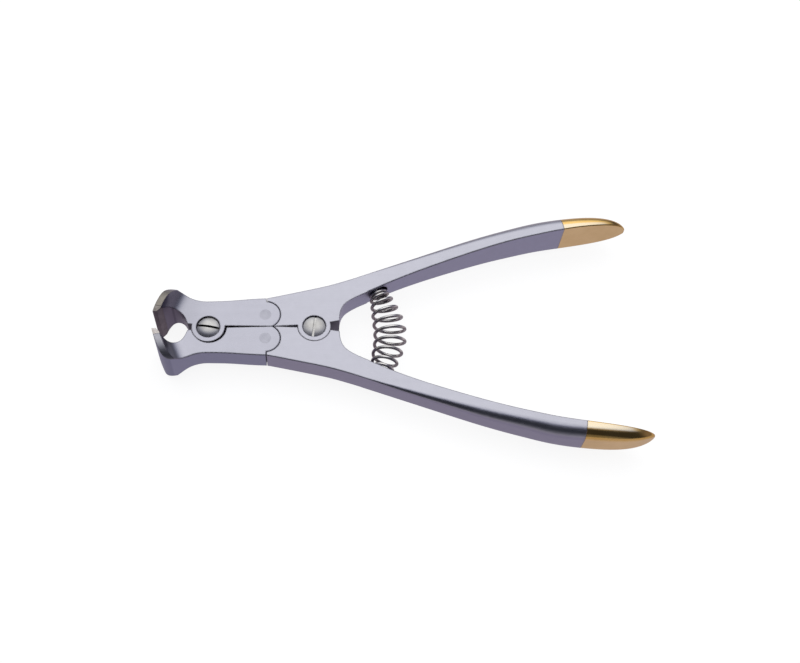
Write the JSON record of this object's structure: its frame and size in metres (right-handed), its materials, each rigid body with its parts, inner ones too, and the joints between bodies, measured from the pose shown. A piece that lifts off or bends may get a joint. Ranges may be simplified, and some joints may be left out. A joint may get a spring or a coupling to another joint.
{
  "type": "double-action end cutter",
  "caption": "Compound-leverage end-cutting nipper with wide carbide-tipped jaws, pinned jaw links, a barrel return spring and gold-plated handle ends.",
  "frame": {"origin": "centre of the bounding box's bottom face, tool lying flat and fully open", "axes": "+X along the tool from the jaws to the handle ends, +Y across it from the lower to the upper handle, +Z along the pivot screws out of their heads"},
  "size_m": [0.18, 0.0938, 0.021],
  "materials": {
    "jaw_steel": "satin",
    "handle_steel": "satin",
    "carbide": "ground",
    "gold_plate": "polished",
    "screw_steel": "polished",
    "pin_steel": "satin",
    "spring_steel": "drawn wire"
  },
  "bodies": {
    "lower_handle": {"lower_handle": "handle_steel", "lower_handle_gold_end": "gold_plate", "rear_pivot_screw": "screw_steel", "return_spring": "spring_steel"},
    "upper_handle": {"upper_handle": "handle_steel", "upper_handle_gold_end": "gold_plate"},
    "lower_jaw": {"lower_jaw": "jaw_steel", "lower_cutting_insert": "carbide", "front_pivot_screw": "screw_steel", "lower_link_pin": "pin_steel"},
    "upper_jaw": {"upper_jaw": "jaw_steel", "upper_cutting_insert": "carbide", "upper_link_pin": "pin_steel"}
  },
  "joints": [
    {"name": "handle_pivot", "type": "hinge", "parent": "lower_handle", "child": "upper_handle", "pos_m": [-0.032, 0, 0.0105], "axis": [0, 0, -1], "range_deg": [0, 22.9], "stiffness_Nm_per_rad": 0.5, "springref_deg": -11.46, "deforming": ["return_spring"]},
    {"name": "lower_jaw_link", "type": "hinge", "parent": "lower_handle", "child": "lower_jaw", "pos_m": [-0.04983, -0.00481, 0.0105], "axis": [0, 0, -1], "range_deg": [0, 21.26]},
    {"name": "jaw_pivot", "type": "hinge", "parent": "lower_jaw", "child": "upper_jaw", "pos_m": [-0.0705, 0, 0.0105], "axis": [0, 0, 1], "range_deg": [0, 19.61]}
  ],
  "couplings": [
    {"joint": "lower_jaw_link", "follows": "handle_pivot", "ratio": 0.928},
    {"joint": "jaw_pivot", "follows": "handle_pivot", "ratio": 0.856}
  ]
}
